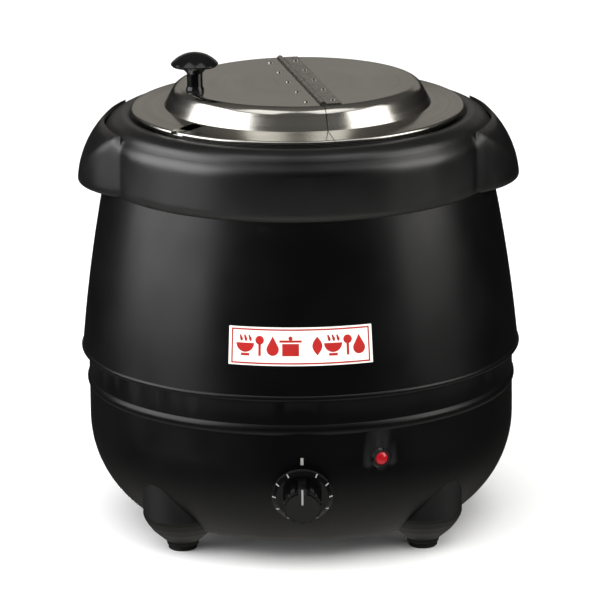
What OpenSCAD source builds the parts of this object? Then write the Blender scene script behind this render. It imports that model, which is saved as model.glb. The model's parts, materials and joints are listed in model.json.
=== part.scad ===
// Electric wet-heat soup kettle: two black steel shells, a moulded collar with two hollow grips,
// a heated water well, a lift-out pot and a lid whose one half hinges up.
// Sizes are in millimetres. The origin is on the vertical axis, on the table. The front is -Y.

/* [Body] */
// Largest diameter, over the rolled rim of the upper shell
body_d = 340; // [336:1:344]
// Diameter of the upper shell where it meets the collar
shoulder_d = 300; // [298:1:302]
// Diameter of the upright part of the lower shell
bowl_d = 329; // [326:1:329]
// Radius of the slight bulge of the upper shell, seen from the side
bulge_r = 1250; // [1000:50:2000]
// Height of the rolled lower rim of the upper shell
rim_z = 137; // [135:1:140]
// Height of the seam between the upper shell and the collar
seam_z = 270; // [268:1:271]
// Height of the flat underside of the lower shell
underside_z = 15; // [14:1:17]
// Thickness of the steel shells
sheet = 1.2; // [0.8:0.1:1.4]

/* [Collar and grips] */
// Height of the collar's crest
collar_z = 322; // [321.5:0.1:322.2]
// Distance from the axis to the tip of each grip
grip_reach = 170; // [168:1:176]
// Half of the angle that each grip takes up round the collar
grip_span = 25; // [22:1:30]
// Wall thickness of the moulding
collar_wall = 3; // [2.5:0.1:3.5]

/* [Pot and water well] */
// Outer diameter of the lift-out pot
pot_d = 235; // [233:0.5:235.5]
// Height of the pot's rim
pot_rim_z = 325.4; // [325:0.1:325.4]
// Depth of the pot inside
pot_depth = 237; // [225:1:238]
// Outer diameter of the water well
well_d = 248; // [247:0.5:249]
// Depth of the water space under the pot
water_gap = 19; // [16:1:20]

/* [Lid] */
// Height of the lid's flat top
lid_z = 344.3; // [343:0.1:347]
// Diameter of the lid over its rolled edge
lid_d = 255.8; // [255:0.1:256.2]
// Angle by which the hinge line is turned from front-to-back
lid_turn = 11; // [0:1:20]
// Offset of the hinge line from the middle of the lid
hinge_offset = 3; // [0:0.5:6]
// Width of the ladle notch
notch_w = 12; // [10:1:26]
// Diameter of the mushroom knob
lid_knob_d = 36; // [30:1:38]

/* [Controls] */
// Height at which the control knob's axis meets the shell
control_z = 64.5; // [60:0.5:66]
// Downward tilt of the control knob's axis
control_tilt = 16; // [14:1:18]
// Diameter of the control knob's skirt
control_d = 46; // [40:1:48]
// Height of the pilot lamp
lamp_z = 89; // [87:1:94]
// Angle of the pilot lamp to the right of the front
lamp_angle = 21; // [18:1:26]
// Width of the label, as an angle round the body
label_angle = 37.5; // [30:0.5:42]
// Height of the label
label_h = 28.5; // [24:0.5:32]
// Height of the label's middle
label_z = 179; // [174:1:186]

/* [Legs] */
// Distance of each leg's axis from the middle, both sideways and front to back
leg_offset = 92; // [88:1:94]
// Diameter of the rubber pads
pad_d = 22; // [20:1:24]
// Height of the rubber pads
pad_h = 6; // [5:0.5:6]

/* [Hidden] */
$fn = 96;
gap = 0.3;
eps = 0.05;
big = 400;

// Upper shell
bead_r = 2.5;
barrel_top = [shoulder_d / 2, seam_z];
barrel_low = [body_d / 2 - 0.7, rim_z];
barrel_chord = norm(barrel_low - barrel_top);
barrel_dir = (barrel_low - barrel_top) / barrel_chord;
barrel_rise = sqrt(pow(bulge_r, 2) - pow(barrel_chord / 2, 2));
barrel_centre = (barrel_low + barrel_top) / 2 + barrel_rise * [barrel_dir[1], -barrel_dir[0]];
neck_r = shoulder_d / 2 - 4;
neck_top_z = 310;
collar_screw_r = 137;
function barrel_radius(z) = barrel_centre[0] + sqrt(pow(bulge_r, 2) - pow(z - barrel_centre[1], 2));

// Lower shell
bowl_r = bowl_d / 2;
bowl_top_z = rim_z + 14;
side_r = 84.5;
side_c = [bowl_r - side_r, underside_z + 69];
heel_r = 24;
heel_z = underside_z + heel_r;
heel_reach = side_r - heel_r + 0.03;
heel_x = side_c[0] + sqrt(pow(heel_reach, 2) - pow(side_c[1] - heel_z, 2));
heel_dir = ([heel_x, heel_z] - side_c) / heel_reach;
heel_t = side_c + side_r * heel_dir;
ridge_z = 114;
floor_hole_r = 92;
base_plate_r = 104;
base_t = 1.2;
base_screw_r = 98;
function bowl_radius(z) = side_c[0] + sqrt(pow(side_r, 2) - pow(side_c[1] - z, 2));

// Collar
collar_r = shoulder_d / 2;
crest_r = 18;
crest_c = [collar_r - crest_r, collar_z - crest_r];
ledge_z = 318.6;
ledge_under_z = 312.8;
ledge_inner_r = 118.6;
mouth_r = 128.8;
grip_low_z = 269;
grip_arc_r = 70;
grip_arc_c = [grip_reach - 69.8, seam_z - 2.8];
grip_edge = [collar_r * cos(grip_span), collar_r * sin(grip_span)];
grip_axis_x = (pow(grip_reach, 2) - pow(grip_edge[0], 2) - pow(grip_edge[1], 2))
    / (2 * (grip_reach - grip_edge[0]));
grip_plan_r = grip_reach - grip_axis_x;
lip_r = 2.5;

// Well and pot
pot_r = pot_d / 2;
pot_t = 0.8;
pot_floor_z = pot_rim_z - pot_depth;
pot_corner_r = 20;
pot_neck_z = 311;
pot_step = 1;
pot_bead_r = 3.2;
pot_bead_c = [pot_r + 3.7, pot_rim_z - pot_bead_r];
well_r = well_d / 2;
well_t = 1;
well_floor_z = pot_floor_z - pot_t - water_gap;
well_corner_r = 23;
well_flange_r = 142;
well_flange_z = 311.6;
gasket_inner_r = 132;
well_under_z = well_floor_z - well_t;

// Heating parts under the well
element_r = 72;
tube_r = 4;
element_z = well_under_z - tube_r - eps;
element_angle = 325;
clamp_z = element_z - tube_r - 0.1;
clamp_t = 1.5;
stud_ring_r = 50;
bulb_y = -22;

// Lid
lid_t = 0.8;
lid_flat_r = 88;
lid_shoulder_r = 9;
lid_foot = [102.5, 328];
lid_shoulder_c = [lid_flat_r, lid_z - lid_shoulder_r];
lid_wall = lid_foot - lid_shoulder_c;
lid_wall_angle = atan2(lid_wall[1], lid_wall[0]) + acos(lid_shoulder_r / norm(lid_wall));
lid_wall_dir = [cos(lid_wall_angle), sin(lid_wall_angle)];
lid_bead_r = 1.7;
lid_bead_c = [lid_d / 2 - lid_bead_r, 324.6];
lid_lip_r = 113;
lid_lip_z = 317;
hinge_z = lid_z + 0.2;
hinge_pin_r = 1.25;
hinge_bore_r = 1.3;
knuckle_r = 2.3;
hinge_half_length = 86;
knuckle_count = 11;
knuckle_pitch = 2 * hinge_half_length / knuckle_count;
leaf_t = 0.8;
leaf_w = 14;
flap_leaf_z = lid_z - lid_t - leaf_t - eps;
rivet_ys = [-72, -36, 0, 36, 72];
notch_angle = 224.5 - lid_turn;
notch_inner_r = 103.5;
knob_at = [-82.3, -15];
knob_stem_r = 6;
knob_height = 30;
knob_foot_r = 7;
knob_dome_r = 23.3;

// Controls
control_r = bowl_radius(control_z);
skirt_lift = 2.6;
skirt_t = 3.5;
grip_h = 15;
shaft_r = 3;
knob_reach = control_r + (skirt_lift + skirt_t + grip_h + 0.35) * cos(control_tilt)
    + 16.5 * sin(control_tilt);
lamp_r = 5.5;
bush_z = 97;
bush_bore_r = 3.8;
bush_throat_y = 168;

// Legs
leg_r = 30;
leg_ring_r = leg_offset * sqrt(2);
leg_low_z = 4;

// Colours
steel_black = "#1c1d1f";
mould_black = "#232426";
bright = "#d8d6cf";

// ---------- Helpers ----------

// Ring of rectangular section
module ring(r_in, r_out, z_low, z_high) {
    rotate_extrude()
        translate([r_in, z_low]) square([r_out - r_in, z_high - z_low]);
}

// Copies its children round the axis, starting at a given angle
module around(count, start = 0) {
    for (i = [0:count - 1]) rotate([0, 0, start + i * 360 / count]) children();
}

// Wedge of space about the axis, half_angle to each side of the front
module front_wedge(half_angle, z_low, z_high) {
    reach = 260;
    translate([0, 0, z_low])
        linear_extrude(z_high - z_low)
            polygon([[0, 0], [-reach * tan(half_angle), -reach], [reach * tan(half_angle), -reach]]);
}

// Direction of a path at point i: along it at its ends, half-way round the bend elsewhere
function heading(points, i) =
    let (before = points[max(0, i - 1)], after = points[min(len(points) - 1, i + 1)])
    let (d_in = points[i] - before, d_out = after - points[i])
    let (u_in = norm(d_in) > 0 ? d_in / norm(d_in) : [0, 0, 0])
    let (u_out = norm(d_out) > 0 ? d_out / norm(d_out) : [0, 0, 0])
    (u_in + u_out) / norm(u_in + u_out);

// Round bar that follows a list of points: an eight-sided tube with a ring at each point
module bar(points, r) {
    sides = 8;
    rings = [
        for (i = [0:len(points) - 1])
            let (h = heading(points, i))
            let (side_way = cross(h, [0.31, 0.17, 0.93]))
            let (u = side_way / norm(side_way), v = cross(h, u))
            for (k = [0:sides - 1])
                points[i] + r * (cos(k * 360 / sides) * u + sin(k * 360 / sides) * v)
    ];
    last = (len(points) - 1) * sides;
    walls = [
        for (i = [0:len(points) - 2], k = [0:sides - 1])
            let (a = i * sides + k, b = i * sides + (k + 1) % sides)
            each [[a, b, b + sides], [a, b + sides, a + sides]]
    ];
    low_cap = [for (k = [0:sides - 1]) sides - 1 - k];
    top_cap = [for (k = [0:sides - 1]) last + k];
    polyhedron(rings, concat(walls, [low_cap, top_cap]));
}

// Pan-head screw, its head under side at z = 0 and its shank going down
module screw(r, length, head_r, head_h) {
    cylinder(r = head_r, h = head_h, $fn = 32);
    translate([0, 0, -length]) cylinder(r = r, h = length + eps, $fn = 24);
}

// Places its children on the control knob's axis, with z pointing out of the shell
module on_control_axis() {
    translate([0, -control_r, control_z])
        rotate([90 + control_tilt, 0, 0]) children();
}

// Places its children on the lamp's axis, with z pointing out of the shell
module on_lamp_axis() {
    rotate([0, 0, lamp_angle])
        translate([0, -bowl_r, lamp_z])
            rotate([90, 0, 0]) children();
}

// ---------- Shells ----------

// Area inside the curve of the upper shell, pulled in by an amount
module barrel_area(inset) {
    intersection() {
        translate(barrel_centre) circle(r = bulge_r - inset, $fn = 720);
        translate([0, rim_z + bead_r]) square([big, seam_z - rim_z - bead_r]);
    }
}

module upper_shell() {
    color(steel_black)
        difference() {
            rotate_extrude() {
                difference() {
                    barrel_area(0);
                    barrel_area(sheet);
                }
                difference() {
                    translate([body_d / 2 - bead_r, rim_z + bead_r]) circle(r = bead_r, $fn = 48);
                    translate([body_d / 2 - bead_r, rim_z + bead_r]) circle(r = bead_r - 1, $fn = 48);
                }
                translate([neck_r - sheet, seam_z - sheet])
                    square([collar_r - 0.5 - neck_r + sheet, sheet]);
                translate([neck_r - sheet, seam_z - sheet])
                    square([sheet, neck_top_z - seam_z + sheet]);
                translate([gasket_inner_r, neck_top_z - sheet])
                    square([neck_r - gasket_inner_r, sheet]);
            }
            around(4, 45)
                translate([collar_screw_r, 0, neck_top_z - 5]) cylinder(r = 1.8, h = 10, $fn = 24);
        }
}

// Area inside the outer face of the lower shell, pulled in by an amount
module bowl_area(inset) {
    join_z = heel_t[1] - inset * heel_dir[1];
    translate([0, side_c[1]]) square([bowl_r - inset, bowl_top_z - side_c[1]]);
    intersection() {
        translate(side_c) circle(r = side_r - inset, $fn = 180);
        translate([0, join_z]) square([big, side_c[1] - join_z + eps]);
    }
    translate([heel_x, heel_z]) circle(r = heel_r - inset);
    polygon([
        [0, underside_z + inset], [heel_x, underside_z + inset],
        [heel_x, heel_z], [side_c[0], side_c[1] + eps], [0, side_c[1] + eps]
    ]);
}

// The lower shell's space as a solid, for trimming what fits against it
module bowl_solid(inset) {
    rotate_extrude() bowl_area(inset);
}

module lower_shell() {
    color(steel_black)
        difference() {
            rotate_extrude() {
                difference() {
                    bowl_area(0);
                    difference() {
                        bowl_area(sheet);
                        translate([0, bowl_top_z - sheet]) square([big, 2 * sheet]);
                    }
                    square([floor_hole_r, 2 * underside_z]);
                    translate([0, bowl_top_z - 2 * sheet]) square([bowl_r - 14, 4 * sheet]);
                }
                intersection() {
                    translate([bowl_r - 4.5, ridge_z]) circle(r = 6);
                    translate([bowl_r - sheet / 2, ridge_z - 8]) square([4, 16]);
                }
            }
            on_control_axis() translate([0, 0, -12]) cylinder(r = 5, h = 24);
            on_control_axis()
                for (x = [-14, 14]) translate([x, 0, -12]) cylinder(r = 2.1, h = 24);
            on_lamp_axis() translate([0, 0, -12]) cylinder(r = lamp_r, h = 24);
            translate([0, bowl_r + 12, bush_z]) rotate([90, 0, 0]) cylinder(r = 8.2, h = 24);
            around(4, 45) translate([leg_ring_r, 0, 0]) cylinder(r = 2.7, h = 40);
            around(4) translate([base_screw_r, 0, 0]) cylinder(r = 1.6, h = 40);
            around(6, 30) translate([bowl_r - 8, 0, bowl_top_z - 5]) cylinder(r = 1.6, h = 10);
        }
}

// Hoop of L section that ties the two shells together
module joining_ring() {
    color("gray")
        difference() {
            union() {
                ring(bowl_r - 14, 165.5, bowl_top_z + eps, bowl_top_z + 1.5);
                ring(164.3, 165.5, bowl_top_z + eps, bowl_top_z + 10);
            }
            around(6, 30) translate([bowl_r - 8, 0, bowl_top_z - 5]) cylinder(r = 2.1, h = 12);
        }
}

module ring_screws() {
    color("silver")
        around(6, 30)
            translate([bowl_r - 8, 0, bowl_top_z + 1.55]) screw(1.55, 9, 3.4, 2.2);
}

// ---------- Collar ----------

// Area under the upper outline of a grip, pulled in by an amount
module grip_section(inset) {
    intersection() {
        translate(grip_arc_c) circle(r = grip_arc_r - inset, $fn = 180);
        translate([0, grip_low_z + lip_r - 2 * inset])
            square([big, collar_z + 0.2 - inset - grip_low_z - lip_r + 2 * inset]);
    }
}

// One grip's outer form: its plan outline, domed by its side outline
module grip_form(inset) {
    intersection() {
        rotate_extrude() grip_section(inset);
        translate([grip_axis_x, 0, grip_low_z - 10])
            cylinder(r = grip_plan_r - inset, h = 100, $fn = 180);
    }
}

module grip() {
    difference() {
        union() {
            grip_form(0);
            translate([grip_axis_x, 0, grip_low_z + lip_r])
                rotate_extrude() translate([grip_plan_r - lip_r, 0]) circle(r = lip_r, $fn = 32);
        }
        grip_form(collar_wall);
        translate([0, 0, grip_low_z - 20]) cylinder(r = collar_r - 1, h = 100, $fn = 180);
        translate([0, 0, grip_low_z - 20])
            cylinder(r = collar_r + 0.6, h = seam_z + 0.2 - grip_low_z + 20, $fn = 180);
    }
}

module collar_section() {
    difference() {
        union() {
            translate([ledge_inner_r, seam_z + 0.2])
                square([collar_r - ledge_inner_r, crest_c[1] - seam_z - 0.2]);
            intersection() {
                translate(crest_c) circle(r = crest_r, $fn = 180);
                translate([crest_c[0], crest_c[1] - eps]) square(big);
            }
            translate([ledge_inner_r, crest_c[1] - eps])
                square([crest_c[0] - ledge_inner_r + eps, crest_r + eps]);
        }
        translate([0, seam_z - 10])
            square([neck_r + 0.4, ledge_under_z - seam_z + 10]);
        translate([0, ledge_z]) square([mouth_r, 30]);
        difference() {
            translate([mouth_r - 1, collar_z - 2]) square([3, 4]);
            translate([mouth_r + 2, collar_z - 2]) circle(r = 2, $fn = 32);
        }
    }
}

module collar() {
    color(mould_black)
        difference() {
            union() {
                rotate_extrude() collar_section();
                grip();
                mirror([1, 0, 0]) grip();
            }
            around(4, 45)
                translate([collar_screw_r, 0, ledge_under_z - 1]) cylinder(r = 1.7, h = 6, $fn = 24);
        }
}

module collar_screws() {
    color("silver")
        around(4, 45)
            translate([collar_screw_r, 0, neck_top_z - sheet - eps])
                mirror([0, 0, 1]) screw(1.65, 8, 3.6, 2.2);
}

// ---------- Well ----------

module well_gasket() {
    color("dimgray")
        difference() {
            ring(gasket_inner_r, well_flange_r, neck_top_z + eps, well_flange_z - eps);
            around(4, 45)
                translate([collar_screw_r, 0, neck_top_z - 5]) cylinder(r = 2, h = 10, $fn = 24);
        }
}

// Area of a straight pot with a rounded bottom corner, pulled in by an amount
module pot_area(r, floor_z, top_z, corner_r, inset) {
    translate([0, floor_z + inset]) square([r - corner_r, top_z - floor_z - inset]);
    translate([0, floor_z + corner_r]) square([r - inset, top_z - floor_z - corner_r]);
    translate([r - corner_r, floor_z + corner_r]) circle(r = corner_r - inset);
}

module water_well() {
    color("silver")
        difference() {
            rotate_extrude() {
                difference() {
                    pot_area(well_r, well_under_z, well_flange_z + 0.1, well_corner_r, 0);
                    pot_area(well_r, well_under_z, well_flange_z + 5, well_corner_r, well_t);
                }
                translate([well_r - well_t, well_flange_z])
                    square([well_flange_r - well_r + well_t, well_t]);
                translate([well_r - well_t - 0.6, pot_floor_z + 150]) circle(r = 1.2, $fn = 32);
            }
            around(4, 45) translate([collar_screw_r, 0, neck_top_z]) cylinder(r = 2, h = 10, $fn = 24);
        }
}

module insulation_jacket() {
    color("wheat") ring(well_r + 1, 140, 104, 303);
}

// ---------- Base ----------

module base_plate() {
    slot_rings = [40, 52, 64];
    color("dimgray")
        difference() {
            translate([0, 0, underside_z - base_t - eps]) cylinder(r = base_plate_r, h = base_t);
            around(4) translate([base_screw_r, 0, 0]) cylinder(r = 2, h = 40, $fn = 24);
            translate([62, 44, 0]) cylinder(r = 2.1, h = 40, $fn = 24);
            for (x = [-24, 24]) translate([x, 74, 0]) cylinder(r = 1.7, h = 40, $fn = 24);
            for (r = slot_rings)
                around(8, 22.5)
                    translate([r, -1.5, 0]) cube([8, 3, 40]);
        }
}

module base_screws() {
    color("silver")
        around(4)
            translate([base_screw_r, 0, underside_z - base_t - 2 * eps])
                mirror([0, 0, 1]) screw(1.55, 8, 3.2, 2);
}

// Flared leg, cut to the shape of the shell above it
module leg(sx, sy) {
    color(mould_black)
        difference() {
            translate([sx * leg_offset, sy * leg_offset, 0])
                rotate_extrude()
                    difference() {
                        polygon([
                            [0, leg_low_z], [pad_d / 2 + 1, leg_low_z], [pad_d / 2 + 1.6, 7],
                            [17.5, 11], [22.5, 15.5], [26.5, 20.5], [leg_r - 1, 25], [leg_r, 28],
                            [leg_r, 60], [0, 60]
                        ]);
                        square([2.7, 100]);
                        translate([0, -1]) square([pad_d / 2 - 1.2, pad_h + 1.2]);
                    }
            bowl_solid(-0.1);
            base_plate_room();
        }
}

// Space kept free for the base plate under the shell
module base_plate_room() {
    translate([0, 0, underside_z - base_t - 1]) cylinder(r = base_plate_r + 0.5, h = 5);
}

// Rubber pad with a stem that plugs into the leg
module pad(sx, sy) {
    color("black")
        translate([sx * leg_offset, sy * leg_offset, 0])
            difference() {
                rotate_extrude()
                    polygon([
                        [3, 0], [pad_d / 2 - 1, 0], [pad_d / 2, 1], [pad_d / 2, leg_low_z - 0.1],
                        [pad_d / 2 - 1.4, leg_low_z - 0.1], [pad_d / 2 - 1.4, pad_h], [3, pad_h]
                    ]);
                translate([0, 0, -1]) cylinder(r = 5.5, h = 4.5, $fn = 32);
            }
}

module leg_bolts() {
    color("silver")
        around(4, 45)
            translate([leg_ring_r, 0, 3.3]) mirror([0, 0, 1]) screw(2.45, 24, 4.6, 2.3);
}

// Nuts welded inside the lower shell, their feet cut to its curve
module weld_nuts() {
    color("gray")
        difference() {
            intersection() {
                around(4, 45) translate([leg_ring_r, 0, 10]) cylinder(r = 7, h = 17, $fn = 6);
                bowl_solid(sheet + 0.02);
            }
            around(4, 45) translate([leg_ring_r, 0, 0]) cylinder(r = 2.5, h = 40, $fn = 24);
        }
}

// ---------- Heating ----------

module heating_element() {
    color("dimgray") {
        rotate([0, 0, 90 + (360 - element_angle) / 2])
            rotate_extrude(angle = element_angle)
                translate([element_r, element_z]) circle(r = tube_r, $fn = 32);
        for (s = [-1, 1])
            rotate([0, 0, 90 + s * (360 - element_angle) / 2]) {
                translate([element_r, 0, element_z]) sphere(r = tube_r + 0.1, $fn = 32);
                translate([element_r, 0, element_z - 12]) cylinder(r = tube_r, h = 12, $fn = 32);
            }
    }
}

module element_terminals() {
    color("white")
        for (s = [-1, 1])
            rotate([0, 0, 90 + s * (360 - element_angle) / 2])
                translate([element_r, 0, element_z - 12.05]) {
                    translate([0, 0, -5]) cylinder(r = 4.6, h = 5, $fn = 32);
                    translate([-0.4, -3.1, -14]) cube([0.8, 6.2, 9.1]);
                }
}

module element_clamp() {
    color("silver")
        difference() {
            ring(34, 88, clamp_z - clamp_t, clamp_z);
            around(3, 30) translate([stud_ring_r, 0, 0]) cylinder(r = 2.7, h = 100, $fn = 24);
            translate([30.6, bulb_y - 1, 0]) cylinder(r = 3, h = 100, $fn = 24);
            rotate([0, 0, 90 - 24])
                rotate_extrude(angle = 48) translate([62, clamp_z - 5]) square([40, 10]);
        }
}

module clamp_studs() {
    color("silver")
        around(3, 30)
            translate([stud_ring_r, 0, clamp_z - 8]) cylinder(r = 2.5, h = well_under_z - clamp_z + 7.95);
}

module clamp_nuts() {
    color("silver")
        around(3, 30)
            translate([stud_ring_r, 0, clamp_z - clamp_t - 4.05])
                difference() {
                    cylinder(r = 4.6, h = 4, $fn = 6);
                    translate([0, 0, -1]) cylinder(r = 2.52, h = 6, $fn = 24);
                }
}

module thermostat_body() {
    color("ivory")
        on_control_axis()
            difference() {
                union() {
                    translate([-19, -15, -28.5]) cube([38, 30, 20]);
                    translate([-19, -6, -8.55]) cube([38, 12, 1.5]);
                    translate([0, 0, -8.6]) cylinder(r = 6, h = 4);
                }
                translate([0, 0, -20]) cylinder(r = shaft_r + 0.05, h = 30);
                for (x = [-14, 14]) translate([x, 0, -20]) cylinder(r = 1.9, h = 30, $fn = 24);
            }
}

module thermostat_screws() {
    color("silver")
        on_control_axis()
            for (x = [-14, 14]) translate([x, 0, -0.4]) screw(1.85, 13, 3.4, 1.5);
}

module thermostat_bulb() {
    color("goldenrod")
        translate([-27, bulb_y, well_under_z - 3.1])
            rotate([0, 90, 0]) cylinder(r = 3, h = 54, $fn = 32);
}

// Point inside the shell behind the control knob: across, up and in along its axis
function behind_knob(x, up, depth) = [
    x,
    depth * cos(control_tilt) - up * sin(control_tilt) - control_r,
    control_z + up * cos(control_tilt) + depth * sin(control_tilt)
];

capillary_path = [
    [27.05, bulb_y, 63], [28.5, bulb_y, 63], [31, -23, 58], [33, -30, 50], [33, -60, 46],
    [30, -98, 50], behind_knob(14, -2, 36), behind_knob(14, -2, 28.6)
];

module capillary_tube() {
    color("goldenrod") bar(capillary_path, 1);
}

module thermal_cutout() {
    color("ivory")
        translate([0, 6, 0]) {
            translate([0, 0, well_under_z - 8.05]) cylinder(r = 8, h = 8, $fn = 48);
            for (x = [-5.5, 4.5]) translate([x, -3, well_under_z - 17]) cube([1, 6, 9]);
        }
}

// ---------- Wiring ----------

module terminal_block() {
    color("white")
        difference() {
            translate([-30, 63, underside_z]) cube([60, 22, 17]);
            for (x = [-20, 0, 20])
                translate([x, 50, underside_z + 8])
                    rotate([-90, 0, 0]) cylinder(r = 2.2, h = 50, $fn = 24);
            for (x = [-20, 0, 20], y = [68, 80])
                translate([x, y, underside_z + 8]) cylinder(r = 2.05, h = 20, $fn = 24);
        }
}

module terminal_screws() {
    color("goldenrod")
        for (x = [-20, 0, 20], y = [68, 80])
            translate([x, y, underside_z + 10.3]) cylinder(r = 2, h = 5, $fn = 24);
}

module earth_stud() {
    color("goldenrod")
        translate([62, 44, 0]) {
            translate([0, 0, underside_z - base_t - 2.1]) cylinder(r = 3.8, h = 2, $fn = 32);
            translate([0, 0, underside_z - base_t - 0.2]) cylinder(r = 2, h = 14, $fn = 24);
            translate([0, 0, underside_z + 0.05]) cylinder(r = 4, h = 3.2, $fn = 6);
        }
}

wire_r = 1.4;

// Point beside one of the element's terminals, at a distance from the kettle's axis
function by_terminal(side, r, z) = [
    side * r * sin((360 - element_angle) / 2), r * cos((360 - element_angle) / 2), z
];

live_path = [
    [-20, 62.5, 23], [-20, 54, 24], [-50, 40, 36], [-66, -10, 38], [-56, -80, 40],
    behind_knob(-12, -8, 38), behind_knob(-12, -8, 28.6)
];
switched_path = [
    behind_knob(10, -8, 28.6), behind_knob(10, -8, 38), [16, -112, 44], [64, -60, 38], [66, 20, 38],
    by_terminal(1, 64, 42), by_terminal(1, element_r - 0.5, 42)
];
neutral_path = [
    [0, 62.5, 23], [0, 52, 26], [-10, 46, 36],
    by_terminal(-1, 64, 42), by_terminal(-1, element_r - 0.5, 42)
];
earth_path = [[20, 62.5, 23], [24, 52, 24], [48, 42, 22], [57.5, 44, 20]];
lamp_path = [[-6, 62.5, 23], [-8, 50, 28], [-40, 20, 30], [-30, -70, 30], [30, -110, 34], [50, -124, 84]];

module wire_live() {
    color("saddlebrown") bar(live_path, wire_r);
}
module wire_switched() {
    color("red") bar(switched_path, wire_r);
}
module wire_neutral() {
    color("steelblue") bar(neutral_path, wire_r);
}
module wire_earth() {
    color("yellowgreen") bar(earth_path, wire_r);
}
module wire_lamp() {
    color("red") bar(lamp_path, wire_r);
}

// ---------- Lamp, label and inlet ----------

module lamp_bezel() {
    color("black")
        on_lamp_axis()
            difference() {
                rotate_extrude()
                    polygon([[0, 0.1], [8, 0.1], [8, 1.4], [6.6, 3], [0, 3]]);
                translate([0, 0, -1]) cylinder(r = 5.2, h = 10, $fn = 48);
            }
}

module lamp_lens() {
    color("red")
        on_lamp_axis() {
            translate([0, 0, 0.4])
                intersection() {
                    translate([0, 0, -2.4]) sphere(r = 6.6, $fn = 48);
                    cylinder(r = 5.1, h = 6, $fn = 48);
                }
        }
}

module lamp_body() {
    color("ivory")
        on_lamp_axis() {
            translate([0, 0, -24]) cylinder(r = 5, h = 24.3, $fn = 48);
            for (x = [-2.8, 2]) translate([x, -2.5, -30]) cube([0.8, 5, 6.1]);
        }
}

module lamp_nut() {
    color("white")
        on_lamp_axis()
            translate([0, 0, -5.6])
                difference() {
                    cylinder(r = 9, h = 3.6, $fn = 6);
                    translate([0, 0, -1]) cylinder(r = 5.05, h = 8, $fn = 48);
                }
}

// White index line on the lower shell, above the knob
module index_mark() {
    color("white")
        intersection() {
            difference() {
                bowl_solid(-0.35);
                bowl_solid(-0.02);
            }
            translate([-1.1, -200, 87]) cube([2.2, 100, 5.5]);
        }
}

module label_plate() {
    color("white")
        intersection() {
            rotate_extrude()
                difference() {
                    barrel_area(-0.9);
                    barrel_area(-0.1);
                }
            front_wedge(label_angle / 2, label_z - label_h / 2, label_z + label_h / 2);
        }
}

module cable_bush() {
    color("black")
        translate([0, 0, bush_z])
            rotate([-90, 0, 0])
                difference() {
                    union() {
                        translate([0, 0, 148]) cylinder(r = 8, h = 20);
                        translate([0, 0, bowl_r + 0.1]) cylinder(r = 12, h = 5);
                        translate([0, 0, bowl_r + 5])
                            cylinder(r1 = 10, r2 = 8, h = knob_reach - bowl_r - 5);
                    }
                    translate([0, 0, 140]) cylinder(r = bush_bore_r, h = 60);
                    translate([0, 0, 140]) cylinder(r = bush_bore_r + 1.4, h = bush_throat_y - 140);
                }
}

module cable_bush_nut() {
    color("black")
        translate([0, 0, bush_z])
            rotate([-90, 0, 0])
                translate([0, 0, 156])
                    difference() {
                        cylinder(r = 12.5, h = 5, $fn = 6);
                        translate([0, 0, -1]) cylinder(r = 8.05, h = 8);
                    }
}

// ---------- Control knob ----------

module control_knob() {
    color("black")
        on_control_axis()
            translate([0, 0, skirt_lift])
                difference() {
                    union() {
                        rotate_extrude()
                            polygon([
                                [0, 0], [control_d / 2, 0], [control_d / 2, 1.2],
                                [control_d / 2 - 3.5, skirt_t], [0, skirt_t]
                            ]);
                        translate([0, 0, 1])
                            linear_extrude(skirt_t + grip_h - 2)
                                difference() {
                                    circle(r = 14.5);
                                    around(12, 15) translate([16, 0]) circle(r = 2.6, $fn = 24);
                                }
                        translate([0, 0, 2]) cylinder(r = 12.4, h = skirt_t + grip_h - 2);
                        translate([-3, 0, 1.5]) cube([6, 17, skirt_t + grip_h - 1.5]);
                    }
                    translate([0, 0, -1]) cylinder(r = shaft_r, h = 12);
                }
}

module dial_marks() {
    bevel_angle = atan2(skirt_t - 1.2, 3.5);
    color("white")
        on_control_axis()
            translate([0, 0, skirt_lift]) {
                for (a = [-60:30:240])
                    if (a != 90)
                        rotate([0, 0, a])
                            translate([control_d / 2 - 3.5, 0, skirt_t])
                                rotate([0, bevel_angle, 0])
                                    translate([0.6, -0.45, 0.02]) cube([3, 0.9, 0.3]);
                translate([-0.7, 3, skirt_t + grip_h + 0.02]) cube([1.4, 13.5, 0.3]);
            }
}

module thermostat_shaft() {
    color("silver")
        on_control_axis()
            translate([0, 0, -18]) cylinder(r = shaft_r, h = 18 + skirt_lift + 10.9);
}

// ---------- Pot ----------

// Area inside the pot's outer face, pulled in by an amount: its neck is a step wider than its wall
module pot_body(top_z, inset) {
    pot_area(pot_r - pot_step, pot_floor_z - pot_t, pot_neck_z + eps, pot_corner_r, inset);
    translate([0, pot_neck_z]) square([pot_r - inset, top_z - pot_neck_z]);
    polygon([
        [0, pot_neck_z - 2 * pot_step], [pot_r - pot_step - inset, pot_neck_z - 2 * pot_step],
        [pot_r - inset, pot_neck_z], [0, pot_neck_z]
    ]);
}

module inner_pot() {
    color(bright)
        rotate_extrude() {
            difference() {
                pot_body(pot_rim_z, 0);
                pot_body(pot_rim_z + 5, pot_t);
            }
            translate([pot_r - pot_t, pot_rim_z - pot_t]) square([pot_bead_c[0] - pot_r + pot_t, pot_t]);
            difference() {
                translate(pot_bead_c) circle(r = pot_bead_r, $fn = 48);
                translate(pot_bead_c) circle(r = pot_bead_r - pot_t, $fn = 48);
            }
        }
}

// ---------- Lid ----------

// Area under the lid's raised middle, pulled in by an amount
module lid_area(inset) {
    wall_foot = lid_foot - inset * lid_wall_dir;
    translate(lid_shoulder_c) circle(r = lid_shoulder_r - inset);
    polygon([
        [0, lid_lip_z], [wall_foot[0], lid_lip_z], wall_foot,
        lid_shoulder_c + (lid_shoulder_r - inset) * lid_wall_dir, lid_shoulder_c,
        [lid_flat_r, lid_z - inset], [0, lid_z - inset]
    ]);
}

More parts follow.
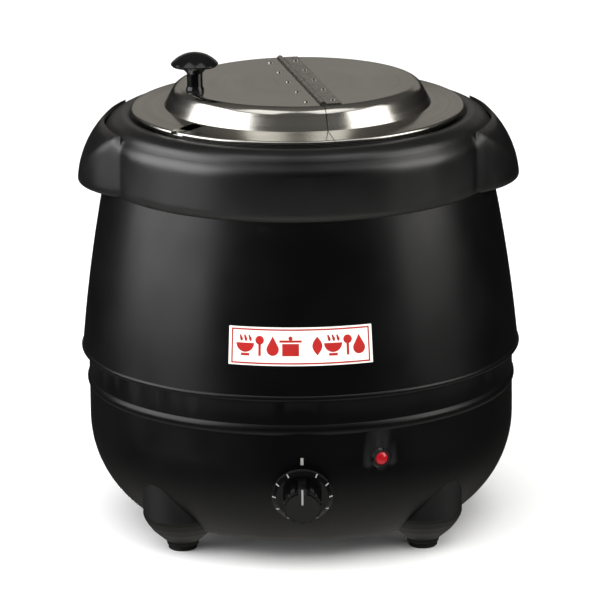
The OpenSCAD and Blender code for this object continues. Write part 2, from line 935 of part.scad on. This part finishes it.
module lid_section() {
    flange_end = lid_bead_c + [-0.6, 0.9 * lid_bead_r];
    flange_start = lid_foot - [0.5, 0.3];
    difference() {
        lid_area(0);
        lid_area(lid_t);
        square([big, lid_foot[1] - lid_t]);
    }
    polygon([
        [flange_start[0], lid_foot[1] - lid_t], flange_end - [0, lid_t], flange_end,
        lid_foot, flange_start
    ]);
    difference() {
        translate(lid_bead_c) circle(r = lid_bead_r, $fn = 32);
        translate(lid_bead_c) circle(r = lid_bead_r - lid_t, $fn = 32);
    }
    translate([lid_lip_r - lid_t, lid_lip_z])
        square([lid_t, lid_foot[1] - lid_t - lid_lip_z - 0.5]);
}

// Half of the lid; side is 1 for the fixed half and -1 for the flap
module lid_half(side) {
    difference() {
        rotate_extrude() lid_section();
        translate([side > 0 ? hinge_offset + gap - big : hinge_offset - gap, -big / 2, 0])
            cube([big, big, big]);
        translate([hinge_offset - knuckle_r - gap, -hinge_half_length - 2, hinge_z - 3])
            cube([2 * (knuckle_r + gap), 2 * hinge_half_length + 4, 6]);
    }
}

module lid_frame() {
    rotate([0, 0, lid_turn]) children();
}

module lid_fixed_half() {
    color(bright)
        lid_frame()
            difference() {
                lid_half(1);
                for (y = rivet_ys)
                    translate([hinge_offset + leaf_w - 4, y, lid_z - 5])
                        cylinder(r = 1.3, h = 10, $fn = 24);
            }
}

module lid_flap() {
    color(bright)
        lid_frame()
            difference() {
                lid_half(-1);
                for (y = rivet_ys)
                    translate([hinge_offset - leaf_w + 4, y, lid_z - 5])
                        cylinder(r = 1.3, h = 10, $fn = 24);
                translate([knob_at[0], knob_at[1], lid_z - 5]) cylinder(r = 2.2, h = 10, $fn = 24);
                rotate([0, 0, notch_angle])
                    translate([notch_inner_r + notch_w / 4, 0, lid_lip_z - 10]) {
                        cylinder(r = notch_w / 4, h = 30);
                        translate([0, -notch_w / 2, 0]) cube([60, notch_w, 30]);
                        for (s = [-1, 1])
                            translate([0, s * notch_w / 4, 0]) cylinder(r = notch_w / 4, h = 30);
                    }
            }
}

// Knuckles of one leaf; odd is 0 or 1 and picks every other one
module knuckles(odd) {
    for (i = [odd:2:knuckle_count - 1])
        translate([hinge_offset, -hinge_half_length + i * knuckle_pitch + 0.2, hinge_z])
            rotate([-90, 0, 0]) cylinder(r = knuckle_r, h = knuckle_pitch - 0.4);
}

// One hinge leaf: a strip under or over the lid's top, with tabs that run in to its knuckles
module hinge_leaf(side, odd, leaf_z) {
    start = side > 0 ? knuckle_r + gap : -leaf_w;
    difference() {
        union() {
            translate([hinge_offset + start, -hinge_half_length, leaf_z])
                cube([leaf_w - knuckle_r - gap, 2 * hinge_half_length, leaf_t]);
            for (i = [odd:2:knuckle_count - 1])
                translate([
                    hinge_offset + (side > 0 ? 1.5 : -leaf_w / 2),
                    -hinge_half_length + i * knuckle_pitch + 0.2, leaf_z
                ])
                    cube([leaf_w / 2 - 1.5, knuckle_pitch - 0.4, leaf_t]);
            knuckles(odd);
        }
        translate([hinge_offset, -hinge_half_length - 1, hinge_z])
            rotate([-90, 0, 0]) cylinder(r = hinge_bore_r, h = 2 * hinge_half_length + 2, $fn = 48);
        for (y = rivet_ys)
            translate([hinge_offset + side * (leaf_w - 4), y, leaf_z - 5])
                cylinder(r = 1.3, h = 10, $fn = 24);
    }
}

module hinge_leaf_fixed() {
    color(bright) lid_frame() hinge_leaf(1, 0, lid_z + eps);
}

module hinge_leaf_flap() {
    color(bright) lid_frame() hinge_leaf(-1, 1, flap_leaf_z);
}

module hinge_pin() {
    color("silver")
        lid_frame()
            translate([hinge_offset, -hinge_half_length - 1.5, hinge_z])
                rotate([-90, 0, 0]) {
                    cylinder(r = hinge_pin_r, h = 2 * hinge_half_length + 3, $fn = 48);
                    cylinder(r = 1.9, h = 1.4, $fn = 48);
                }
}

// Row of rivets at x, whose heads close on the faces at low_z and high_z
module rivets(x, low_z, high_z) {
    head_h = 0.5;
    lid_frame()
        for (y = rivet_ys)
            translate([hinge_offset + x, y, 0]) {
                translate([0, 0, low_z - head_h - eps]) cylinder(r = 2.2, h = head_h, $fn = 32);
                translate([0, 0, low_z - head_h])
                    cylinder(r = 1.25, h = high_z - low_z + 2 * head_h, $fn = 24);
                translate([0, 0, high_z + eps]) cylinder(r = 2.2, h = head_h, $fn = 32);
            }
}

module hinge_rivets() {
    color("silver") rivets(leaf_w - 4, lid_z - lid_t, lid_z + eps + leaf_t);
}

module flap_rivets() {
    color("silver") rivets(4 - leaf_w, flap_leaf_z, lid_z);
}

module lid_knob() {
    cap_r = lid_knob_d / 2;
    color("black")
        lid_frame()
            translate([knob_at[0], knob_at[1], lid_z + eps])
                difference() {
                    rotate_extrude() {
                        polygon([
                            [0, 0], [knob_foot_r, 0], [knob_foot_r, 1.5], [knob_stem_r, 4],
                            [knob_stem_r, 17], [0, 17]
                        ]);
                        intersection() {
                            translate([0, knob_height - knob_dome_r]) circle(r = knob_dome_r);
                            polygon([
                                [0, 14], [knob_stem_r, 14], [knob_stem_r + 3, 17.6], [cap_r - 1, 19.6],
                                [cap_r, 20.8], [cap_r, knob_height + 1], [0, knob_height + 1]
                            ]);
                        }
                    }
                    translate([0, 0, -1]) cylinder(r = 1.9, h = 14, $fn = 24);
                }
}

module lid_knob_screw() {
    color("silver")
        lid_frame()
            translate([knob_at[0], knob_at[1], lid_z - lid_t - 1.1 - eps])
                mirror([0, 0, 1]) {
                    screw(1.85, 12, 3.8, 2.2);
                    translate([0, 0, -1.05]) cylinder(r = 6, h = 1.0, $fn = 48);
                }
}

// ---------- Assembly ----------

upper_shell();
lower_shell();
joining_ring();
ring_screws();
collar();
collar_screws();
well_gasket();
water_well();
insulation_jacket();
base_plate();
base_screws();
leg(-1, -1);  // leg_front_left
leg(1, -1);  // leg_front_right
leg(-1, 1);  // leg_rear_left
leg(1, 1);  // leg_rear_right
pad(-1, -1);  // pad_front_left
pad(1, -1);  // pad_front_right
pad(-1, 1);  // pad_rear_left
pad(1, 1);  // pad_rear_right
leg_bolts();
weld_nuts();
heating_element();
element_terminals();
element_clamp();
clamp_studs();
clamp_nuts();
thermostat_body();
thermostat_screws();
thermostat_bulb();
capillary_tube();
thermal_cutout();
terminal_block();
terminal_screws();
earth_stud();
wire_live();
wire_switched();
wire_neutral();
wire_earth();
wire_lamp();
lamp_bezel();
lamp_lens();
lamp_body();
lamp_nut();
index_mark();
label_plate();
cable_bush();
cable_bush_nut();
control_knob();
dial_marks();
thermostat_shaft();
inner_pot();
lid_fixed_half();
hinge_leaf_fixed();
hinge_pin();
hinge_rivets();
lid_flap();
hinge_leaf_flap();
flap_rivets();
lid_knob();
lid_knob_screw();
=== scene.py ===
"""Looks of the soup kettle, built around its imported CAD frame. Lengths are in metres."""

import json
import math

import bmesh
import bpy
from mathutils import Matrix, Vector
from mathutils.bvhtree import BVHTree


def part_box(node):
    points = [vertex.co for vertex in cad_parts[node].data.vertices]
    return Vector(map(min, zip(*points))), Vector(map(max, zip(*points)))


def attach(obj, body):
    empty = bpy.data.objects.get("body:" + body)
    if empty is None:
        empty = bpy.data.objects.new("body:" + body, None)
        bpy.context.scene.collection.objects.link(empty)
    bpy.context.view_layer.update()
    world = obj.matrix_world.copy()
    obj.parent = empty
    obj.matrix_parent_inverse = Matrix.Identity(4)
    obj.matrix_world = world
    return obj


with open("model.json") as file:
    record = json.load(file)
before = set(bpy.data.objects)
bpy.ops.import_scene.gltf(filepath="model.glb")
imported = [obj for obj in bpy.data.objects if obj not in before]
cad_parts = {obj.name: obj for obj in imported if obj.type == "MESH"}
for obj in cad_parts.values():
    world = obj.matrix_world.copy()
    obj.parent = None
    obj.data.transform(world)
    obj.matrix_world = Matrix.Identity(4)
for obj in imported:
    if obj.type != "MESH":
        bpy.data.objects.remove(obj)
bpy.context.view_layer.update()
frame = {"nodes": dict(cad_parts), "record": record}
MM = 0.001

# ---------- Camera, floor and light ----------

CAMERA_DISTANCE = 3.5
CAMERA_HEIGHT = 1.111
CAMERA_PITCH = 15.04
CAMERA_ROLL = -0.7
CAMERA_LENS = 280
SENSOR = 36
FLOOR_RADIUS = 9.0
FLOOR_STEPS = 96
LIT_HEIGHT = 0.18
SKY_STOPS = ((0.0, 0.45), (0.1, 0.35), (0.26, 0.06), (0.4, 0.01), (0.55, 0.01), (0.7, 0.05), (1.0, 0.14))


def make_camera():
    data = bpy.data.cameras.new("camera")
    data.lens = CAMERA_LENS
    data.sensor_width = SENSOR
    data.clip_end = 50
    camera = bpy.data.objects.new("camera", data)
    camera.location = (0, -CAMERA_DISTANCE, CAMERA_HEIGHT)
    pitch = Matrix.Rotation(math.radians(90 - CAMERA_PITCH), 4, "X")
    roll = Matrix.Rotation(math.radians(CAMERA_ROLL), 4, "Z")
    camera.rotation_euler = (pitch @ roll).to_euler()
    bpy.context.scene.collection.objects.link(camera)
    bpy.context.scene.camera = camera


def make_floor():
    turns = [2 * math.pi * i / FLOOR_STEPS for i in range(FLOOR_STEPS)]
    ring = [(FLOOR_RADIUS * math.cos(turn), FLOOR_RADIUS * math.sin(turn), 0) for turn in turns]
    mesh = bpy.data.meshes.new("floor")
    mesh.from_pydata(ring, [], [list(range(FLOOR_STEPS))])
    floor = bpy.data.objects.new("floor", mesh)
    bpy.context.scene.collection.objects.link(floor)
    material = bpy.data.materials.new("floor")
    material.use_nodes = True
    shader = material.node_tree.nodes["Principled BSDF"]
    shader.inputs["Base Color"].default_value = (0.93, 0.93, 0.93, 1)
    shader.inputs["Roughness"].default_value = 0.9
    shader.inputs["Specular IOR Level"].default_value = 0.1
    mesh.materials.append(material)
    floor.visible_glossy = False


def area_light(name, azimuth, elevation, distance, width, height, glow, colour=(1, 1, 1), glossy=True):
    """A soft box round the object: azimuth 0 is in front, at -Y, and 90 is on the right, at +X."""
    target = Vector((0, 0, LIT_HEIGHT))
    a, e = math.radians(azimuth), math.radians(elevation)
    away = Vector((math.sin(a) * math.cos(e), -math.cos(a) * math.cos(e), math.sin(e)))
    data = bpy.data.lights.new(name, "AREA")
    data.shape = "RECTANGLE"
    data.size, data.size_y = width, height
    data.energy = glow * math.pi * width * height
    data.color = colour
    light = bpy.data.objects.new(name, data)
    light.location = target + away * distance
    light.rotation_euler = away.to_track_quat("Z", "Y").to_euler()
    light.visible_glossy = glossy
    bpy.context.scene.collection.objects.link(light)


def make_world():
    """A dark room over a pale table: undersides reflect light, and upright walls hardly any."""
    world = bpy.data.worlds.new("studio")
    world.use_nodes = True
    nodes, links = world.node_tree.nodes, world.node_tree.links
    background = nodes["Background"]
    coords = nodes.new("ShaderNodeTexCoord")
    split = nodes.new("ShaderNodeSeparateXYZ")
    height = nodes.new("ShaderNodeMapRange")
    height.inputs["From Min"].default_value = -1
    ramp = nodes.new("ShaderNodeValToRGB")
    while len(ramp.color_ramp.elements) < len(SKY_STOPS):
        ramp.color_ramp.elements.new(1)
    for element, (position, level) in zip(ramp.color_ramp.elements, SKY_STOPS):
        element.position = position
        element.color = (level, 0.98 * level, 0.92 * level, 1)
    links.new(coords.outputs["Generated"], split.inputs[0])
    links.new(split.outputs["Z"], height.inputs["Value"])
    links.new(height.outputs["Result"], ramp.inputs["Fac"])
    links.new(ramp.outputs["Color"], background.inputs["Color"])
    bpy.context.scene.world = world


make_camera()
make_floor()
make_world()
area_light("left_box", -78, 22, 1.7, 1.9, 1.6, 3.0)
area_light("right_box", 74, 24, 1.9, 1.2, 1.6, 2.6, (1, 0.985, 0.95))
area_light("back_box", 180, 17, 3.0, 3.2, 0.9, 0.24, (1, 0.95, 0.88))
area_light("over_left", -52, 66, 2.2, 1.1, 1.0, 1.3)
area_light("over_right", 50, 66, 2.2, 1.1, 1.0, 1.3)
area_light("top_box", 0, 84, 4.2, 11, 11, 1.5, glossy=False)
area_light("front_fill", 0, 32, 4.0, 5, 3, 1.2, glossy=False)
bpy.context.scene.view_settings.view_transform = "Standard"

# ---------- Materials ----------


def linear(level):
    """Linear value of an 8-bit display level."""
    v = level / 255
    return v / 12.92 if v <= 0.04045 else ((v + 0.055) / 1.055) ** 2.4


def rgb(r, g, b):
    return (linear(r), linear(g), linear(b), 1)


class Look:
    """A Principled material whose detail is added step by step. Scales are in features per metre."""

    def __init__(self, name, colour, rough, metallic=0.0, coat=0.0, coat_rough=0.1, specular=0.5,
                 anisotropic=0.0):
        self.material = bpy.data.materials.new(name)
        self.material.use_nodes = True
        self.nodes = self.material.node_tree.nodes
        self.links = self.material.node_tree.links
        self.shader = self.nodes["Principled BSDF"]
        self.colour = colour
        self.rough = rough
        s = self.shader.inputs
        s["Base Color"].default_value = colour
        s["Roughness"].default_value = rough
        s["Metallic"].default_value = metallic
        s["Coat Weight"].default_value = coat
        s["Coat Roughness"].default_value = coat_rough
        s["Specular IOR Level"].default_value = specular
        s["Anisotropic"].default_value = anisotropic

    def node(self, kind, **values):
        made = self.nodes.new(kind)
        for name, value in values.items():
            if name in made.inputs:
                made.inputs[name].default_value = value
            else:
                setattr(made, name, value)
        return made

    def place(self):
        return self.node("ShaderNodeTexCoord").outputs["Object"]

    def math(self, operation, *values):
        """Result of a Math node on sockets or plain numbers."""
        made = self.node("ShaderNodeMath", operation=operation)
        for i, value in enumerate(values):
            if isinstance(value, (int, float)):
                made.inputs[i].default_value = value
            else:
                self.links.new(value, made.inputs[i])
        return made.outputs[0]

    def noise(self, scale, detail=2.0, place=None, rough=0.5):
        made = self.node("ShaderNodeTexNoise", Scale=scale, Detail=detail, Roughness=rough)
        self.links.new(place or self.place(), made.inputs["Vector"])
        return made.outputs["Fac"]

    def ring_place(self, across, along):
        """Coordinates stretched round the upright axis, for marks that run in rings."""
        split = self.node("ShaderNodeSeparateXYZ")
        self.links.new(self.place(), split.inputs[0])
        x, y, z = split.outputs
        radius = self.math("SQRT", self.math("ADD", self.math("MULTIPLY", x, x), self.math("MULTIPLY", y, y)))
        joined = self.node("ShaderNodeCombineXYZ")
        self.links.new(self.math("MULTIPLY", radius, across), joined.inputs[0])
        self.links.new(self.math("MULTIPLY", z, across), joined.inputs[1])
        self.links.new(self.math("MULTIPLY", self.math("ADD", x, self.math("MULTIPLY", y, 0.6)), along),
                       joined.inputs[2])
        return joined.outputs[0]

    def spread(self, value, low, high):
        """Maps a noise value, which mostly lies in 0.3 to 0.7, to a range."""
        made = self.node("ShaderNodeMapRange")
        made.inputs["From Min"].default_value = 0.3
        made.inputs["From Max"].default_value = 0.7
        made.inputs["To Min"].default_value = low
        made.inputs["To Max"].default_value = high
        self.links.new(value, made.inputs["Value"])
        return made.outputs["Result"]

    def vary_rough(self, value, amount):
        self.links.new(self.spread(value, self.rough - amount, self.rough + amount),
                       self.shader.inputs["Roughness"])
        return self

    def mix_colour(self, factor, other):
        """Mixes the base colour, on input 6, towards another one, on input 7."""
        mix = self.node("ShaderNodeMix", data_type="RGBA")
        current = self.shader.inputs["Base Color"]
        if current.is_linked:
            self.links.new(current.links[0].from_socket, mix.inputs[6])
        else:
            mix.inputs[6].default_value = self.colour
        mix.inputs[7].default_value = other
        self.links.new(factor, mix.inputs["Factor"])
        self.links.new(mix.outputs[2], current)
        return self

    def vary_colour(self, value, other, low=0.0, high=1.0):
        return self.mix_colour(self.spread(value, low, high), other)

    def worn_edges(self, other, start=0.53, end=0.6):
        """Lightens the outer edges, where handling polishes the finish."""
        edge = self.node("ShaderNodeNewGeometry").outputs["Pointiness"]
        ramp = self.node("ShaderNodeMapRange")
        ramp.inputs["From Min"].default_value = start
        ramp.inputs["From Max"].default_value = end
        self.links.new(edge, ramp.inputs["Value"])
        return self.mix_colour(ramp.outputs["Result"], other)

    def bump(self, value, depth, strength=1.0):
        """Adds relief of a given depth, on top of what is there."""
        made = self.node("ShaderNodeBump", Strength=strength, Distance=depth)
        self.links.new(value, made.inputs["Height"])
        current = self.shader.inputs["Normal"]
        if current.is_linked:
            self.links.new(current.links[0].from_socket, made.inputs["Normal"])
        self.links.new(made.outputs[0], current)
        return self

    def soft_edges(self, radius):
        """Shades creases as rounded mouldings of a given radius."""
        bevel = self.node("ShaderNodeBevel", samples=8, Radius=radius)
        self.links.new(bevel.outputs[0], self.shader.inputs["Normal"])
        return self

    def ring_tangent(self):
        tangent = self.node("ShaderNodeTangent", direction_type="RADIAL", axis="Z")
        self.links.new(tangent.outputs[0], self.shader.inputs["Tangent"])
        return self


WORN_LIFT = 22
DULL_STEEL = 0.86
DULL_PLATING = 0.75


def dulled(colour, share):
    return tuple(share * channel for channel in colour[:3]) + (1,)


def powder_coat():
    look = Look("powder_coat", rgb(4, 4, 5), 0.34, specular=0.42)
    look.bump(look.noise(1100, 2), 0.00012, 0.22).bump(look.noise(260, 1), 0.0003, 0.05)
    return look.vary_rough(look.noise(30, 3), 0.04).worn_edges(rgb(34, 34, 35)).material


def satin_moulding(name, level, rough, specular=0.5, soft=0):
    """Dark moulded plastic of an 8-bit grey level, with creases softened by a radius."""
    look = Look(name, rgb(level, level, level + 1), rough, specular=specular)
    if soft:
        look.soft_edges(soft)
    look.bump(look.noise(1700, 2), 0.0001, 0.14)
    worn = level + WORN_LIFT
    return look.vary_rough(look.noise(45, 3), 0.035).worn_edges(rgb(worn, worn, worn)).material


def rubber():
    look = Look("rubber", rgb(12, 12, 12), 0.78, specular=0.3)
    look.bump(look.noise(1400, 3), 0.00018, 0.4)
    return look.vary_colour(look.noise(90, 3), rgb(26, 25, 24), 0, 0.6).material


def ringed_steel(name, colour, rough, anisotropic):
    """Sheet steel spun and brushed round the upright axis."""
    look = Look(name, colour, rough, metallic=1.0, anisotropic=anisotropic)
    fine = look.noise(1.0, 2, look.ring_place(2600, 14))
    broad = look.noise(1.0, 2, look.ring_place(420, 5))
    look.bump(fine, 0.00003, 0.16)
    look.vary_rough(broad, 0.03).vary_colour(look.noise(16, 3), dulled(colour, DULL_STEEL), 0, 0.7)
    return look.ring_tangent().material


def plated_steel(name, colour, rough):
    look = Look(name, colour, rough, metallic=1.0)
    look.bump(look.noise(900, 2), 0.00005, 0.25)
    look.vary_colour(look.noise(220, 3), dulled(colour, DULL_PLATING), 0, 0.8)
    return look.vary_rough(look.noise(160, 2), 0.07).material


def painted(name, colour, rough, other):
    look = Look(name, colour, rough)
    look.bump(look.noise(1300, 2), 0.00008, 0.2)
    return look.vary_rough(look.noise(120, 2), 0.05).vary_colour(look.noise(60, 3), other, 0, 0.5).material


def glass_wool():
    look = Look("mineral_wool", rgb(214, 196, 140), 0.95, specular=0.15)
    look.bump(look.noise(500, 5, rough=0.7), 0.0012, 0.9).bump(look.noise(60, 3), 0.003, 0.6)
    return look.vary_colour(look.noise(90, 5), rgb(178, 152, 96), 0, 1).material


def lamp_lens():
    look = Look("lamp_red", rgb(150, 14, 26), 0.16, coat=0.6, coat_rough=0.05)
    look.bump(look.noise(700, 2), 0.0001, 0.3)
    look.shader.inputs["Emission Color"].default_value = rgb(190, 16, 30)
    look.shader.inputs["Emission Strength"].default_value = 0.12
    return look.vary_colour(look.noise(260, 2), rgb(120, 6, 16), 0, 0.6).material


def make_looks():
    return {
        "black_shell": powder_coat(),
        "black_moulding": satin_moulding("collar_moulding", 5, 0.33, 1.0, 9 * MM),
        "black_knob": satin_moulding("knob_moulding", 7, 0.16),
        "leg_plastic": satin_moulding("leg_moulding", 6, 0.4),
        "black_rubber": rubber(),
        "pot_steel": ringed_steel("pot_steel", (0.62, 0.61, 0.58, 1), 0.24, 0.5),
        "lid_steel": ringed_steel("lid_steel", (0.66, 0.64, 0.59, 1), 0.17, 0.45),
        "hinge_steel": plated_steel("hinge_steel", (0.6, 0.585, 0.55, 1), 0.26),
        "well_steel": ringed_steel("well_steel", (0.55, 0.54, 0.52, 1), 0.34, 0.4),
        "zinc_plate": plated_steel("zinc_plate", (0.56, 0.58, 0.6, 1), 0.32),
        "base_steel": plated_steel("base_steel", (0.42, 0.43, 0.45, 1), 0.45),
        "element_sheath": plated_steel("element_sheath", (0.16, 0.14, 0.13, 1), 0.5),
        "ceramic": painted("ceramic", rgb(232, 226, 208), 0.6, rgb(206, 196, 172)),
        "phenolic": painted("phenolic", rgb(206, 190, 156), 0.5, rgb(186, 166, 130)),
        "copper": plated_steel("copper", (0.7, 0.34, 0.2, 1), 0.3),
        "terminal_white": painted("terminal_white", rgb(228, 228, 222), 0.45, rgb(206, 204, 194)),
        "brass": plated_steel("brass", (0.72, 0.5, 0.2, 1), 0.28),
        "mineral_wool": glass_wool(),
        "wire_brown": painted("wire_brown", rgb(96, 54, 28), 0.35, rgb(76, 42, 22)),
        "wire_red": painted("wire_red", rgb(176, 28, 24), 0.35, rgb(140, 20, 18)),
        "wire_blue": painted("wire_blue", rgb(42, 84, 168), 0.35, rgb(32, 66, 138)),
        "wire_green": painted("wire_green", rgb(120, 160, 40), 0.35, rgb(96, 134, 30)),
        "lamp_red": lamp_lens(),
        "lamp_white": painted("lamp_white", rgb(224, 218, 200), 0.5, rgb(204, 196, 176)),
        "print_white": painted("print_white", rgb(150, 150, 148), 0.5, rgb(120, 120, 118)),
        "label_white": painted("label_white", rgb(240, 238, 232), 0.3, rgb(230, 226, 218)),
    }


LOOKS = make_looks()
SLOTS = {row["node"]: row["material_slot"] for row in frame["record"]["subparts"]}
for node_name, node_object in frame["nodes"].items():
    node_object.data.materials.clear()
    node_object.data.materials.append(LOOKS[SLOTS[node_name]])

# ---------- Label print ----------

PRINT_LIFT = 0.12 * MM
PRINT_T = 0.06 * MM
PRINT_STEP = 1.2 * MM
SIGN_SCALE = 1.5
BORDER_INSET = 3.4
BORDER_LINE = 1.1


def plate_tree(name):
    """A node's surface, for casting rays onto it."""
    node = frame["nodes"][name]
    points = [node.matrix_world @ v.co for v in node.data.vertices]
    return BVHTree.FromPolygons(points, [tuple(p.vertices) for p in node.data.polygons])


def disc(x, y, r, count=28, start=0, turn=360):
    """Points of a circle, or of the part of one that a turn of under 360 degrees covers."""
    return [(x + r * math.cos(math.radians(start + turn * i / count)),
             y + r * math.sin(math.radians(start + turn * i / count)))
            for i in range(count + (turn < 360))]


def band(points, width):
    """A strip of a given width along an open line."""
    left, right = [], []
    for i, (x, y) in enumerate(points):
        before, after = points[max(i - 1, 0)], points[min(i + 1, len(points) - 1)]
        along = Vector((after[0] - before[0], after[1] - before[1])).normalized()
        left.append((x - along.y * width / 2, y + along.x * width / 2))
        right.append((x + along.y * width / 2, y - along.x * width / 2))
    return left + right[::-1]


def bowl_sign(x):
    """A steaming bowl on a foot. The signs are in millimetres from the middle of the label."""
    return [disc(x, 1.6, 4.6, 24, 180, 180), band([(x - 2.2, -4.1), (x + 2.2, -4.1)], 1.3)] + [
        band([(x + dx + 0.5 * math.sin(k * 1.3), 2.6 + k * 0.75) for k in range(5)], 0.85)
        for dx in (-2.1, 0.2, 2.5)]


def spoon_sign(x):
    return [disc(x, 3.1, 2.2), band([(x, 1.4), (x, -4.7)], 1.25)]


def drop_sign(x):
    return [[(x, 5.2)] + disc(x, -1.4, 3.1, 24, 30, -240)]


def pan_sign(x):
    return [[(x - 4.2, -4.6), (x + 4.2, -4.6), (x + 4.2, 1.5), (x - 4.2, 1.5)],
            band([(x - 5.6, 2.7), (x + 5.6, 2.7)], 1.1), disc(x, 4.2, 1.05)]


def leaf_sign(x):
    right = [(x + 2.5 * math.sin(math.pi * k / 14), -4.4 + 9.4 * k / 14) for k in range(15)]
    left = [(x - 2.5 * math.sin(math.pi * k / 14), -4.4 + 9.4 * k / 14) for k in range(13, 0, -1)]
    return [right + left]


def frame_sign(width, height, line):
    """A border of four strips."""
    x, y = width / 2, height / 2
    end = x + line / 2
    return [band([(-end, -y), (end, -y)], line), band([(-end, y), (end, y)], line),
            band([(-x, -y + line / 2), (-x, y - line / 2)], line),
            band([(x, -y + line / 2), (x, y - line / 2)], line)]


def printed(name, node, shapes, slot):
    """Lays flat shapes on the front of a curved plate, each as a thin closed film."""
    low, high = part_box(node)
    middle = (low[2] + high[2]) / 2
    radius = -low[1]
    tree = plate_tree(node)
    mesh = bmesh.new()
    for shape in shapes:
        mesh.faces.new([mesh.verts.new((x * MM, 0, y * MM)) for x, y in shape])
    bmesh.ops.triangulate(mesh, faces=mesh.faces[:])
    for axis in (0, 2):
        reach = max(abs(v.co[axis]) for v in mesh.verts)
        steps = int(reach / PRINT_STEP) + 1
        for k in range(-steps, steps + 1):
            point, normal = [0, 0, 0], [0, 0, 0]
            point[axis], normal[axis] = k * PRINT_STEP, 1
            bmesh.ops.bisect_plane(mesh, geom=mesh.verts[:] + mesh.edges[:] + mesh.faces[:],
                                   plane_co=point, plane_no=normal)
    for vert in mesh.verts:
        angle = vert.co.x / radius
        away = Vector((math.sin(angle), -math.cos(angle), 0))
        hit = tree.ray_cast(away * (radius + 0.05) + Vector((0, 0, middle + vert.co.z)), -away)[0]
        vert.co = hit + away * (PRINT_LIFT - PRINT_T)
    flat = mesh.faces[:]
    bmesh.ops.recalc_face_normals(mesh, faces=flat)
    raised = bmesh.ops.extrude_face_region(mesh, geom=flat)["geom"]
    for vert in [part for part in raised if isinstance(part, bmesh.types.BMVert)]:
        vert.co += Vector((vert.co.x, vert.co.y, 0)).normalized() * PRINT_T
    bmesh.ops.recalc_face_normals(mesh, faces=mesh.faces[:])
    data = bpy.data.meshes.new(name)
    mesh.to_mesh(data)
    mesh.free()
    piece = bpy.data.objects.new(name, data)
    bpy.context.scene.collection.objects.link(piece)
    data.materials.append(LOOKS[slot])
    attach(piece, "kettle")


label_low, label_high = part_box("label_plate")
label_width = (label_high[0] - label_low[0]) / MM
label_height = (label_high[2] - label_low[2]) / MM
border = frame_sign(label_width - BORDER_INSET, label_height - BORDER_INSET, BORDER_LINE)
signs = bowl_sign(-28) + spoon_sign(-20.6) + drop_sign(-14) + pan_sign(-5)
signs += leaf_sign(8.4) + bowl_sign(16.4) + spoon_sign(23.8) + drop_sign(29.6)
signs = [[(SIGN_SCALE * x, SIGN_SCALE * y) for x, y in shape] for shape in signs]
printed("label_print", "label_plate", border + signs, "wire_red")
